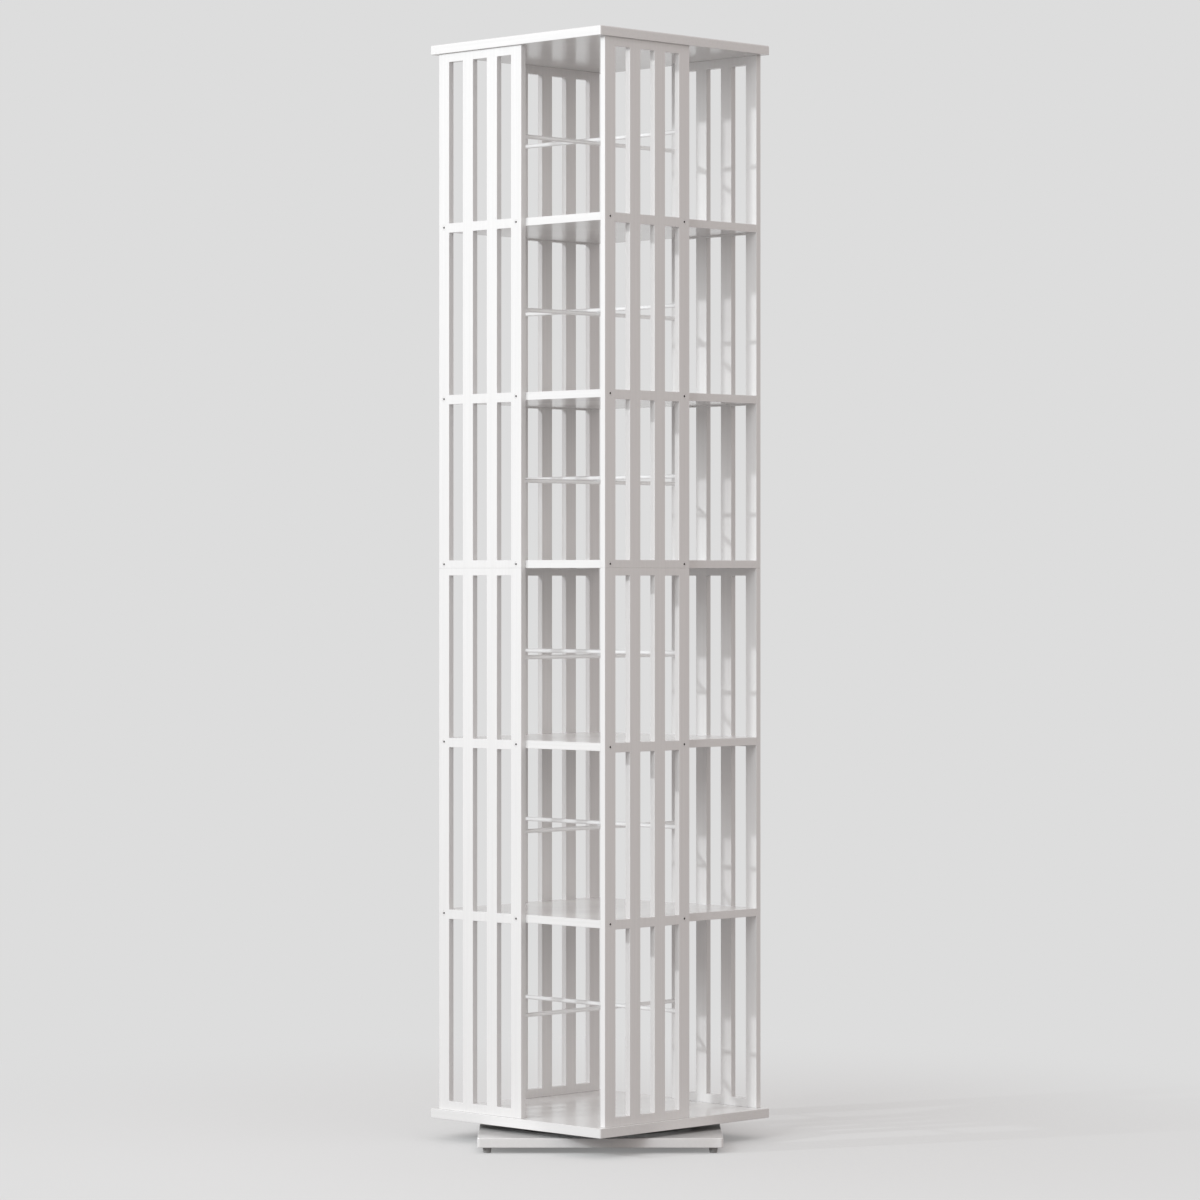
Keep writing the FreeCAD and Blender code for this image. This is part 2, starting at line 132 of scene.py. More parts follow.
def strength(label, description, default):
    """A property that holds a plain amount."""
    return FloatProperty(name=label, description=description, default=default, min=0.0, precision=3)


def angle(label, description, default):
    """A property that holds an angle, given here in degrees."""
    return FloatProperty(name=label, description=description, default=math.radians(default),
                         subtype="ANGLE")


def place(label, description, default):
    """A property that holds a point in space."""
    return FloatVectorProperty(name=label, description=description, default=default, size=3,
                               unit="LENGTH", subtype="TRANSLATION")


def count(label, description, default, least):
    """A property that holds a whole number."""
    return IntProperty(name=label, description=description, default=default, min=least)


class TowerSizes(bpy.types.PropertyGroup):
    """Sizes of the boards, panels and turntable."""

    slat_width: length("Slat Width", "Width of one upright slat", 0.028)
    slat_count: count("Slats", "Slats in one panel", 4, least=2)
    rail_drop: length("Rail Drop", "How far a rail reaches below its shelf", 0.003)
    end_rail: length("End Rail", "Height of the rails at the top and bottom boards", 0.017)
    seam_rail: length("Seam Rail", "Height of the lower panels' top rail", 0.014)
    panel_edge: length("Panel Edge", "Rounding of the slats and rails", 0.0007)
    shelf_edge: length("Shelf Edge", "Rounding of the shelves' edges", 0.0006)
    board_edge: length("Board Edge", "Rounding of the boards' lower edges", 0.0009)
    board_corner: length("Board Corner", "Rounding of the boards' upright corners", 0.003)
    top_edge: length("Top Edge", "Rounding around the top of the top board", 0.003)
    base_edge: length("Base Edge", "Rounding of the base plate's edges", 0.0015)
    base_corner: length("Base Corner", "Rounding of the base plate's upright corners", 0.006)
    base_angle: angle("Base Angle", "Turn of the base plate against the tower", 45)
    rod_hole: length("Rod Hole", "Depth of the rods' holes in the panels", 0.008)
    race_radius: length("Race Radius", "Radius of the row of bearing balls", 0.150)
    ring_width: length("Ring Width", "Width of each turntable ring", 0.025)
    ring_gap: length("Ring Gap", "Gap between the turntable rings", 0.002)
    ring_edge: length("Ring Edge", "Chamfer of the turntable rings", 0.0004)
    ball_diameter: length("Ball Diameter", "Diameter of a bearing ball", 0.006)
    ball_count: count("Balls", "Balls in the bearing", 36, least=3)
    foot_tip: length("Foot Tip", "Diameter of a foot on the floor", 0.014)
    foot_edge: length("Foot Edge", "Rounding of a foot's edges", 0.0008)
    foot_recess: length("Foot Recess", "Depth of the screw's recess in a foot", 0.005)
    foot_reach: length("Foot Reach", "Distance of the feet from the turning axis", 0.299106)

    def slat_pitch(self, width):
        """Step from slat to slat in a panel of this width."""
        return (width - self.slat_width) / (self.slat_count - 1)

    def end_slats(self):
        """Middles of the front panels' first and last slats, from left to right."""
        low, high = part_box("upper_panel_front")
        return low.x + self.slat_width / 2, high.x - self.slat_width / 2

    def ring_middle(self, side):
        """Radius of a turntable ring's middle: side -1 is the fixed ring, 1 the turning one."""
        return self.race_radius + side * (self.ring_gap + self.ring_width) / 2


class FittingSizes(bpy.types.PropertyGroup):
    """Sizes of the screws and dowels."""

    screw_diameter: length("Screw", "Diameter of a panel screw's shank", 0.005)
    screw_length: length("Screw Length", "Length of a panel screw", 0.050)
    screw_head_diameter: length("Screw Head", "Diameter of a panel screw's head", 0.009)
    screw_head_height: length("Screw Head Height", "Height of a panel screw's head", 0.003)
    screw_socket_flats: length("Screw Socket", "Width of a panel screw's hex socket", 0.004)
    screw_socket_depth: length("Screw Socket Depth", "Depth of a panel screw's socket", 0.0024)
    small_diameter: length("Small Screw", "Diameter of a small screw's shank", 0.004)
    small_length: length("Small Screw Length", "Length of a small screw", 0.020)
    small_head_diameter: length("Small Head", "Diameter of a small screw's head", 0.0075)
    small_head_height: length("Small Head Height", "Height of a small screw's head", 0.0025)
    small_socket_flats: length("Small Socket", "Width of a small screw's hex socket", 0.0025)
    small_socket_depth: length("Small Socket Depth", "Depth of a small screw's socket", 0.0016)
    small_screw_count: count("Ring Screws", "Screws in each turntable ring", 6, least=1)
    dowel_diameter: length("Dowel", "Diameter of a dowel", 0.006)
    dowel_length: length("Dowel Length", "Length of a dowel", 0.030)
    dowel_in_board: length("Dowel in Board", "Depth of a dowel in the top board", 0.012)
    dowel_flute: length("Dowel Flute", "Depth of the flutes along a dowel", 0.00025)
    ease: length("Ease", "Chamfer on screw heads and the ends of rods and dowels", 0.0004)
    clearance: length("Clearance", "Room around what sits in a hole", 0.0001)
    end_clearance: length("End Clearance", "Room past the end of what sits in a hole", 0.0005)

    def bore(self, kind):
        """Radius of the hole for a shank, a head or a dowel."""
        return getattr(self, f"{kind}_diameter") / 2 + self.clearance

    def seat(self, kind):
        """Radius and depth of the recess for a screw's head."""
        return self.bore(f"{kind}_head"), getattr(self, f"{kind}_head_height")


class TowerFinishes(bpy.types.PropertyGroup):
    """Colours and gloss of the finishes."""

    lacquer: colour("Lacquer", "Satin lacquer of the boards and panels", (0.790, 0.780, 0.775))
    lacquer_gloss: strength("Lacquer Roughness", "Mean roughness of the lacquer", 0.17)
    # Painted shade: a near-black underside for the bottom board, so the gap over the base reads as
    # deep shade.
    sealer: colour("Sealer", "Grey sealer under the bottom board", (0.13, 0.127, 0.124))
    enamel: colour("Enamel", "Gloss enamel of the rods", (0.96, 0.96, 0.96))
    enamel_pearl: strength("Enamel Pearl", "Share of the enamel that mirrors like pearl", 0.2)
    screw: colour("Screw", "Painted heads of the panel screws", (0.80, 0.785, 0.78))
    # Partly painted shade: bare steel is dark inside a socket, and this near-black also stands in
    # for the shade deep in the recess.
    socket: colour("Socket", "Dark inside of the screws' sockets", (0.035, 0.032, 0.03))
    zinc: colour("Zinc", "Plating of the small screws", (0.62, 0.63, 0.65))
    aluminium: colour("Aluminium", "Turned rings of the turntable", (0.78, 0.79, 0.80))
    bearing: colour("Bearing Steel", "Polished balls", (0.75, 0.75, 0.77))
    nylon: colour("Nylon", "Moulded cage of the balls", (0.08, 0.08, 0.09))
    rubber: colour("Rubber", "Grey rubber of the feet", (0.33, 0.325, 0.32))
    beech: colour("Beech", "Bare wood of the dowels", (0.72, 0.55, 0.38))


class StudioSettings(bpy.types.PropertyGroup):
    """Floor, light and camera."""

    backdrop: colour("Backdrop", "Grey of the backdrop", (0.723, 0.723, 0.723))
    floor: colour("Floor", "Grey of the floor as it shows", (0.765, 0.765, 0.765))
    floor_bounce: colour("Floor Bounce", "Grey of the floor as it lights the tower",
                         (0.34, 0.33, 0.325))
    floor_radius: length("Floor Radius", "Reach of the floor", 60.0)
    contact_depth: strength("Contact Depth", "Share of the shadow shown under the base", 0.72)
    contact_reach: length("Contact Reach", "Distance within which that share shows", 0.22)
    shadow_depth: strength("Shadow Depth", "Share of the shadow shown around the base", 0.5)
    shadow_near: length("Shadow Near", "Distance at which that share shows", 0.40)
    shadow_far: length("Shadow Far", "Distance at which the shadow has faded", 1.9)
    sky: strength("Sky", "Strength of the light from all around", 0.61)
    sky_colour: colour("Sky Colour", "Colour of the light from all around", (1.0, 0.935, 0.92))
    key: strength("Key", "Power of the key light in watts", 850.0)
    key_colour: colour("Key Colour", "Colour of the key light", (0.94, 0.98, 1.0))
    key_radius: length("Key Radius", "Radius of the key light", 0.11)
    key_place: place("Key Place", "Where the key light stands", (-3.05, -7.5, 3.77))
    soft: strength("Soft Box", "Power of the soft box in watts", 150.0)
    soft_colour: colour("Soft Box Colour", "Colour of the soft box", (0.92, 0.98, 1.0))
    soft_place: place("Soft Box Place", "Where the soft box stands", (0.8, -5.0, 3.05))
    fill: strength("Side Fill", "Power of the fill light at the right in watts", 20.0)
    fill_colour: colour("Side Fill Colour", "Colour of the fill light", (1.0, 0.84, 0.74))
    fill_place: place("Side Fill Place", "Where the fill light stands", (5.5, 0.5, 2.2))
    box_size: length("Box Size", "Side of the soft box and of the fill light", 3.0)
    camera_azimuth: angle("Camera Azimuth", "Turn of the camera around the tower", 44.87)
    camera_distance: length("Camera Distance", "Distance from the turning axis", 8.5554)
    camera_height: length("Camera Height", "Height of the camera's eye", 1.0729)
    camera_lens: strength("Lens", "Focal length in millimetres on a 36 mm sensor", 133.87)
    camera_shift: FloatProperty(name="Shift", description="Vertical shift of the picture",
                                default=-0.01766, precision=5)


def settings(context):
    """The tower's sizes and those of its fittings."""
    return context.scene.media_tower_sizes, context.scene.media_tower_fittings


# Node trees

def connect(tree, node, inputs):
    """Sets a node's inputs to values, or links them to the sockets that feed them."""
    for key, value in inputs.items():
        if isinstance(value, bpy.types.NodeSocket):
            tree.links.new(value, node.inputs[key])
        else:
            node.inputs[key].default_value = value


def add_node(tree, kind, inputs=None, **options):
    """Adds a node and gives its first output."""
    node = tree.nodes.new(kind)
    for name, value in options.items():
        setattr(node, name, value)
    connect(tree, node, inputs or {})
    return node.outputs[0] if node.outputs else None


def math_node(tree, operation, first, second):
    return add_node(tree, "ShaderNodeMath", {0: first, 1: second}, operation=operation)


def whole_node(tree, operation, first, second):
    return add_node(tree, "FunctionNodeIntegerMath", {0: first, 1: second}, operation=operation)


def span(tree, vector):
    """The length of a vector."""
    out = add_node(tree, "ShaderNodeVectorMath", {0: vector}, operation="LENGTH")
    return out.node.outputs["Value"]


def new_geometry_tree(name, inputs):
    """A Geometry Nodes tree with named inputs; gives the tree and the sockets of its inputs."""
    tree = bpy.data.node_groups.new(name, "GeometryNodeTree")
    tree.is_modifier = True
    for label, (kind, subtype) in inputs.items():
        item = tree.interface.new_socket(label, in_out="INPUT", socket_type=f"NodeSocket{kind}")
        if subtype:
            item.subtype = subtype
    tree.interface.new_socket("Geometry", in_out="OUTPUT", socket_type="NodeSocketGeometry")
    return tree, tree.nodes.new("NodeGroupInput").outputs


def end_geometry_tree(tree, geometry):
    tree.links.new(geometry, tree.nodes.new("NodeGroupOutput").inputs[0])
    return tree


def slatted_panel_tree(window_edges):
    """A panel whose slats and rails are the cells of a grid that are left when windows are cut."""
    edge_names = [f"Window Edge {number}" for number in range(1, window_edges + 1)]
    tree, given = new_geometry_tree("Slatted panel", {
        "Slat Width": LENGTH, "Slat Pitch": LENGTH, "Slat Count": WHOLE, "Thickness": LENGTH,
        "Height": LENGTH, "Finish": FINISH, **dict.fromkeys(edge_names, LENGTH),
    })
    node, whole, maths = (partial(add, tree) for add in (add_node, whole_node, math_node))
    rows = window_edges + 2
    columns = whole("MULTIPLY", given["Slat Count"], 2)
    grid = node("GeometryNodeMeshGrid", {"Vertices X": columns, "Vertices Y": rows})
    index = node("GeometryNodeInputIndex")

    column = whole("DIVIDE_FLOOR", index, rows)
    slat = whole("DIVIDE_FLOOR", column, 2)
    slat_side = whole("MODULO", column, 2)
    across = maths("ADD", maths("MULTIPLY", slat, given["Slat Pitch"]),
                   maths("MULTIPLY", slat_side, given["Slat Width"]))
    level = tree.nodes.new("GeometryNodeIndexSwitch")
    level.data_type = "FLOAT"
    while len(level.index_switch_items) < rows:
        level.index_switch_items.new()
    levels = {str(row): given[name] for row, name in enumerate([*edge_names, "Height"], start=1)}
    connect(tree, level, {"Index": whole("MODULO", index, rows), "0": 0.0, **levels})
    spot = node("ShaderNodeCombineXYZ",
                {"X": across, "Y": given["Thickness"], "Z": level.outputs[0]})
    grid = node("GeometryNodeSetPosition", {"Geometry": grid, "Position": spot})

    cell_column = whole("MODULO", whole("DIVIDE_FLOOR", index, rows - 1), 2)
    cell_row = whole("MODULO", whole("MODULO", index, rows - 1), 2)
    window = whole("MULTIPLY", cell_column, cell_row)
    back = node("GeometryNodeDeleteGeometry", {"Geometry": grid, "Selection": window},
                domain="FACE")

    front = node("GeometryNodeExtrudeMesh",
                 {"Mesh": back, "Offset Scale": given["Thickness"], "Individual": False})
    back = node("GeometryNodeFlipFaces", {"Mesh": back})
    both = tree.nodes.new("GeometryNodeJoinGeometry")
    for half in (front, back):
        tree.links.new(half, both.inputs[0])
    panel = node("GeometryNodeMergeByDistance", {"Geometry": both.outputs[0], "Distance": TINY})
    panel = node("GeometryNodeRealizeInstances", {"Geometry": panel})
    panel = node("GeometryNodeSetMaterial", {"Geometry": panel, "Material": given["Finish"]})
    return end_geometry_tree(tree, panel)


def fittings_tree():
    """Like fittings at one or two spots, repeated around the turning axis."""
    tree, given = new_geometry_tree("Fittings around the axis", {
        "Fitting": SHAPE, "Repeats": WHOLE, "Spots": WHOLE, "First Spot": SPOT,
        "Second Spot": SPOT, "Tilt": TURN, "Start": TURN, "Finish": FINISH, "Socket Finish": FINISH,
    })
    node, whole, maths = (partial(add, tree) for add in (add_node, whole_node, math_node))
    index = node("GeometryNodeInputIndex")
    repeat = whole("DIVIDE_FLOOR", index, given["Spots"])
    step = maths("DIVIDE", 2 * math.pi, given["Repeats"])
    turn = maths("ADD", maths("MULTIPLY", repeat, step), given["Start"])
    spot = node("GeometryNodeSwitch",
                {"Switch": whole("MODULO", index, given["Spots"]),
                 "False": given["First Spot"], "True": given["Second Spot"]},
                input_type="VECTOR")
    spot = node("ShaderNodeVectorRotate", {"Vector": spot, "Angle": turn}, rotation_type="Z_AXIS")
    points = node("GeometryNodePoints",
                  {"Count": whole("MULTIPLY", given["Repeats"], given["Spots"]), "Position": spot})
    lean = node("ShaderNodeCombineXYZ", {"X": given["Tilt"], "Z": turn})
    lean = node("FunctionNodeEulerToRotation", {"Euler": lean})
    fitting = node("GeometryNodeObjectInfo", {"Object": given["Fitting"]}).node
    made = node("GeometryNodeInstanceOnPoints",
                {"Points": points, "Instance": fitting.outputs["Geometry"], "Rotation": lean})
    made = node("GeometryNodeRealizeInstances", {"Geometry": made})
    made = node("GeometryNodeSetMaterial", {"Geometry": made, "Material": given["Finish"]})
    # Faces marked as inside a socket take the near-black finish, which is partly painted shade of
    # the recess.
    in_socket = node("GeometryNodeInputNamedAttribute", {"Name": SOCKET_MARK}, data_type="BOOLEAN")
    made = node("GeometryNodeSetMaterial",
                {"Geometry": made, "Selection": in_socket, "Material": given["Socket Finish"]})
    return end_geometry_tree(tree, made)


# Meshes

def ring(radius, height, steps=ROUND_STEPS):
    """A circle of points, anticlockwise from above."""
    turns = [2 * math.pi * number / steps for number in range(steps)]
    return [Vector((radius * math.cos(turn), radius * math.sin(turn), height)) for turn in turns]


def hex_ring(flats, height):
    """A hexagon with as many points as a ring, from its width across the flats."""
    points = []
    for point in ring(1.0, height):
        turn = math.atan2(point.y, point.x) % (math.pi / 3) - math.pi / 6
        reach = flats / 2 / math.cos(turn)
        points.append(Vector((point.x * reach, point.y * reach, height)))
    return points


def square_ring(side, corner, height):
    """A square outline with rounded corners, anticlockwise from above."""
    middle = Vector((side / 2 - corner, side / 2 - corner))
    arc = [Vector((middle.x + corner * math.cos(turn), middle.y + corner * math.sin(turn), height))
           for turn in QUARTER]
    corners = [Matrix.Rotation(quarter * math.pi / 2, 3, "Z") for quarter in range(4)]
    return [turned @ point for turned in corners for point in arc]


def loft(name, rings, closed=False):
    """A mesh through rings of points from the bottom up, with capped ends or closed on itself."""
    size = len(rings[0])
    points = [point for one in rings for point in one]
    faces = []
    for low in range(len(rings) if closed else len(rings) - 1):
        high = (low + 1) % len(rings)
        for number in range(size):
            following = (number + 1) % size
            faces.append((low * size + number, low * size + following,
                          high * size + following, high * size + number))
    if not closed:
        faces.append(tuple(reversed(range(size))))
        faces.append(tuple(range(len(points) - size, len(points))))
    mesh = bpy.data.meshes.new(name)
    mesh.from_pydata(points, [], faces)
    mesh.validate()
    return mesh


def quarter_round(radius):
    """Steps of a rounded edge: how far in from the side and how far from the end."""
    return [(radius * (1 - math.sin(turn)), radius * (1 - math.cos(turn))) for turn in QUARTER]


def board_mesh(node, side, corner, low_edge, high_edge):
    """A square board with rounded corners and edges, as thick as its node."""
    low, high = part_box(node)
    levels = [(inset, low.z + rise) for inset, rise in quarter_round(low_edge)]
    levels += [(inset, high.z - drop) for inset, drop in reversed(quarter_round(high_edge))]
    return loft(node, [square_ring(side - 2 * inset, max(corner - inset, TINY), height)
                       for inset, height in levels])


def screw_mesh(sizes, kind):
    """A screw with its head's top at the origin and its shank downwards."""
    shank, long, head, thick, flats, deep = (getattr(sizes, f"{kind}_{part}") for part in (
        "diameter", "length", "head_diameter", "head_height", "socket_flats", "socket_depth"))
    shank, head, ease = shank / 2, head / 2, sizes.ease
    mesh = loft(f"{kind} fitting", [
        ring(shank / 2, -long),
        ring(shank, ease * SCREW_TIP - long),
        ring(shank, -thick),
        ring(head, -thick),
        ring(head, -ease),
        ring(head - ease, 0.0),
        hex_ring(flats, 0.0),
        hex_ring(flats, -deep),
    ])
    # Marks the faces inside the hex socket for the near-black finish, which is partly painted
    # shade.
    mark = mesh.attributes.new(SOCKET_MARK, "BOOLEAN", "FACE")
    for face in mesh.polygons:
        inside = ease - thick < face.center.z < -ease
        mark.data[face.index].value = inside and face.center.xy.length < flats * SOCKET_REACH
    return mesh


def rod_rings(radius, low, high, ease):
    """Rings of an upright rod with chamfered ends."""
    levels = ((radius - ease, low), (radius, low + ease),
              (radius, high - ease), (radius - ease, high))
    return [ring(reach, height) for reach, height in levels]


def dowel_mesh(sizes):
    """An upright dowel that stands on the origin, with flutes along it."""
    rings = rod_rings(sizes.dowel_diameter / 2, 0.0, sizes.dowel_length, sizes.ease * 2)
    for one in rings:
        for point in one[::FLUTE_STEPS]:
            point.xy *= 1 - sizes.dowel_flute / point.xy.length
    return loft("dowel", rings)


def ball_mesh(diameter):
    """A bearing ball about the origin."""
    steps = 2 * ARC_STEPS
    turns = [math.pi * step / steps for step in range(1, steps)]
    radius = diameter / 2
    return loft("ball", [ring(radius * math.sin(turn), -radius * math.cos(turn), steps)
                         for turn in turns])


def move_to_scene(mesh):
    """A working object for a mesh."""
    work = bpy.data.objects.new(mesh.name, mesh)
    bpy.context.scene.collection.objects.link(work)
    return work


def grown(name, tree, values):
    """A working object that a Geometry Nodes tree shapes from named values."""
    work = move_to_scene(bpy.data.meshes.new(name))
    growth = work.modifiers.new(tree.name, "NODES")
    growth.node_group = tree
    for socket in tree.interface.items_tree:
        if socket.in_out == "INPUT":
            growth[socket.identifier] = values[socket.name]
    return work


def plain_mesh(work, name):
    """The mesh that a working object's modifiers give; the object is removed."""
    depsgraph = bpy.context.evaluated_depsgraph_get()
    mesh = bpy.data.meshes.new_from_object(work.evaluated_get(depsgraph), depsgraph=depsgraph)
    mesh.name = name
    work.modifiers.clear()
    bpy.data.objects.remove(work)
    return mesh


def drill(work, holes):
    """Cuts stepped round holes: each a place that opens along its Z, with (radius, depth) steps."""
    points = []
    faces = []
    for spot, steps in holes:
        rings = []
        above = -OVERSHOOT
        for radius, depth in steps:
            rings += [ring(radius, -above), ring(radius, -depth)]
            above = depth
        bit = loft("drill bit", [[spot @ point for point in one] for one in reversed(rings)])
        faces += [tuple(len(points) + number for number in face.vertices) for face in bit.polygons]
        points += [vertex.co.copy() for vertex in bit.vertices]
        bpy.data.meshes.remove(bit)
    tool = bpy.data.meshes.new("drill")
    tool.from_pydata(points, [], faces)
    bits = move_to_scene(tool)
    cut = work.modifiers.new("Holes", "BOOLEAN")
    cut.operation = "DIFFERENCE"
    cut.solver = "EXACT"
    cut.object = bits
    mesh = plain_mesh(work, work.name)
    bpy.data.objects.remove(bits)
    return mesh


def around(holes, repeats, start=0.0):
    """The same holes repeated about the turning axis."""
    made = []
    for number in range(repeats):
        turn = Matrix.Rotation(start + 2 * math.pi * number / repeats, 4, "Z")
        made += [(turn @ spot, steps) for spot, steps in holes]
    return made


def hole_at(spot, opens, *steps):
    return Matrix.Translation(spot) @ opens, steps


def smooth(mesh):
    """Shades a round mesh smooth and keeps its edges crisp."""
    mesh.shade_smooth()
    mesh.set_sharp_from_angle(angle=SMOOTH_ANGLE)
    return mesh


def settle(mesh, name, finish, *nodes):
    """Sets a finished mesh in place of CAD nodes, on their body."""
    if not mesh.polygons:
        raise RuntimeError(f"{name} has no faces")
    if finish:
        mesh.materials.clear()
        mesh.materials.append(finish)
    piece = bpy.data.objects.new(name, mesh)
    mesh.name = name
    bpy.context.scene.collection.objects.link(piece)
    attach(piece, BODY_OF[nodes[0]])
    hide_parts(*nodes)
    return piece


def middle_of(node):
    low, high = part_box(node)
    return (low + high) / 2


# Finishes

# Fine grain across, long streaks along: upright on panels and dowels, level on the boards.
UPRIGHT_GRAIN = (220.0, 220.0, 3.0)
LEVEL_GRAIN = (3.0, 220.0, 220.0)
DOWEL_GRAIN = (900.0, 900.0, 70.0)

NOISE_LOW = 0.3        # a noise pattern swings mostly between these
NOISE_HIGH = 0.7
GLOSS_SWING = 0.05

# Finishes that follow one noise, by the colour that each takes from the settings. Shades scale the
# colour, gloss is the surface's roughness, relief is the depth and strength of the bump; each pair
# goes from the noise's low to its high.
PLAIN_FINISHES = {
    # Painted shade: near-black for the bottom board's underside, deepening the shade in the gap
    # over the base.
    "sealer": dict(title="Grey sealer", grain=LEVEL_GRAIN, detail=4.0, roughness=0.6,
                   shades=(0.88, 1.1), gloss=(0.75, 0.9), relief=(0.0002, 0.2), specular=0.3),
    "enamel": dict(title="White enamel", scale=60.0, detail=2.0, shades=(0.985, 1.01),
                   gloss=(0.1, 0.18), relief=(0.00003, 0.08), relief_scale=500.0),
    "screw": dict(title="Painted screw", scale=900.0, shades=(0.96, 1.02), gloss=(0.3, 0.42),
                  relief=(0.00004, 0.2)),
    # Partly painted shade: dark bare steel, made near-black so the socket's recess reads as deep
    # shade.
    "socket": dict(title="Oiled socket", scale=1500.0, shades=(0.7, 1.3), gloss=(0.5, 0.7)),
    "zinc": dict(title="Zinc plating", scale=700.0, detail=4.0, shades=(0.88, 1.08),
                 gloss=(0.28, 0.42), metallic=1.0),
    "bearing": dict(title="Bearing steel", scale=260.0, shades=(0.94, 1.03), gloss=(0.06, 0.16),
                    metallic=1.0),
    "nylon": dict(title="Moulded nylon", scale=1200.0, detail=2.0, shades=(0.8, 1.15),
                  gloss=(0.4, 0.55), relief=(0.00004, 0.3)),
    "rubber": dict(title="Grey rubber", scale=800.0, detail=4.0, roughness=0.6,
                   shades=(0.85, 1.12), gloss=(0.6, 0.8), relief=(0.0001, 0.35)),
    "beech": dict(title="Bare beech", grain=DOWEL_GRAIN, detail=4.0, roughness=0.65,
                  shades=(0.78, 1.1), gloss=(0.5, 0.7), relief=(0.0001, 0.3)),
}


def start_finish(name):
    """A new finish with its shader and the coordinates that its patterns follow."""
    finish = bpy.data.materials.get(name)
    if finish:
        bpy.data.materials.remove(finish)
    finish = bpy.data.materials.new(name)
    finish.use_nodes = True
    tree = finish.node_tree
    shader = tree.nodes["Principled BSDF"]
    coordinates = tree.nodes.new("ShaderNodeTexCoord").outputs["Object"]
    return finish, tree, shader, coordinates


def noise(tree, vector, scale, detail=2.0, roughness=0.5):
    return add_node(tree, "ShaderNodeTexNoise",
                    {"Vector": vector, "Scale": scale, "Detail": detail, "Roughness": roughness})


def stretched(tree, vector, scale, turn=0.0):
    """Coordinates drawn out along one axis, such as a board's grain."""
    return add_node(tree, "ShaderNodeMapping",
                    {"Vector": vector, "Rotation": (0.0, 0.0, turn), "Scale": scale})


def remap(tree, factor, low, high):
    """A value that swings between two others with a noise."""
    return add_node(tree, "ShaderNodeMapRange",
                    {"Value": factor, "From Min": NOISE_LOW, "From Max": NOISE_HIGH,
                     "To Min": low, "To Max": high})


def tint(tree, factor, colour_value, low, high):
    """A colour that swings between two brightnesses with a noise."""
    ramp = tree.nodes.new("ShaderNodeValToRGB")
    stops = zip(ramp.color_ramp.elements, (NOISE_LOW, NOISE_HIGH), (low, high))
    for element, position, share in stops:
        element.position = position
        element.color = (*(min(part * share, 1.0) for part in colour_value), 1.0)
    tree.links.new(factor, ramp.inputs["Fac"])
    return ramp.outputs["Color"]


def bump(tree, height, distance, amount, under=None):
    inputs = {"Strength": amount, "Distance": distance, "Height": height}
    if under:
        inputs["Normal"] = under
    return add_node(tree, "ShaderNodeBump", inputs)


def noise_finish(colour_value, title, shades, gloss, scale=1.0, grain=None, detail=3.0,
                 roughness=0.5, relief=None, relief_scale=None, metallic=0.0, specular=0.5):
    """A finish whose colour, gloss and relief follow a noise."""
    finish, tree, shader, coordinates = start_finish(title)
    along = stretched(tree, coordinates, grain) if grain else coordinates
    pattern = noise(tree, along, scale, detail, roughness)
    inputs = {
        "Base Color": tint(tree, pattern, colour_value, *shades),
        "Roughness": remap(tree, pattern, *gloss),
        "Metallic": metallic,
        "Specular IOR Level": specular,
    }
    if relief:
        height = noise(tree, coordinates, relief_scale) if relief_scale else pattern
        inputs["Normal"] = bump(tree, height, *relief)
    connect(tree, shader, inputs)
    return finish


def plain_finish(kind, **more):
    """One of the plain finishes, in its colour from the settings."""
    colour_value = getattr(bpy.context.scene.media_tower_finishes, kind)
    return noise_finish(colour_value, **PLAIN_FINISHES[kind], **more)


def lacquer_finish(name, grain, turn=0.0):
    """White satin lacquer over wood whose grain still shows faintly."""
    finishes = bpy.context.scene.media_tower_finishes
    finish, tree, shader, coordinates = start_finish(name)
    along = stretched(tree, coordinates, grain, turn)
    streaks = noise(tree, along, scale=1.0, detail=4.0, roughness=0.6)
    clouds = noise(tree, coordinates, scale=3.0, detail=3.0)
    peel = noise(tree, coordinates, scale=450.0, detail=1.0)
    gloss = finishes.lacquer_gloss
    relief = bump(tree, streaks, distance=0.0002, amount=0.12)
    connect(tree, shader, {
        "Base Color": tint(tree, streaks, finishes.lacquer, low=0.975, high=1.02),
        "Roughness": remap(tree, clouds, gloss - GLOSS_SWING, gloss + GLOSS_SWING),
        "Normal": bump(tree, peel, distance=0.00005, amount=0.12, under=relief),
        "IOR": 1.5,
    })
    return finish


def aluminium_finish():
    """Aluminium with the fine rings that turning leaves."""
    finishes = bpy.context.scene.media_tower_finishes
    finish, tree, shader, coordinates = start_finish("Turned aluminium")
    level = add_node(tree, "ShaderNodeVectorMath", {0: coordinates, 1: (1.0, 1.0, 0.0)},
                     operation="MULTIPLY")
    marks = add_node(tree, "ShaderNodeTexNoise",
                     {"W": span(tree, level), "Scale": 2500.0, "Detail": 3.0},
                     noise_dimensions="1D")
    connect(tree, shader, {
        "Base Color": tint(tree, marks, finishes.aluminium, low=0.93, high=1.04),
        "Metallic": 1.0,
        "Roughness": remap(tree, marks, low=0.27, high=0.4),
        "Normal": bump(tree, marks, distance=0.00004, amount=0.25),
    })
    return finish


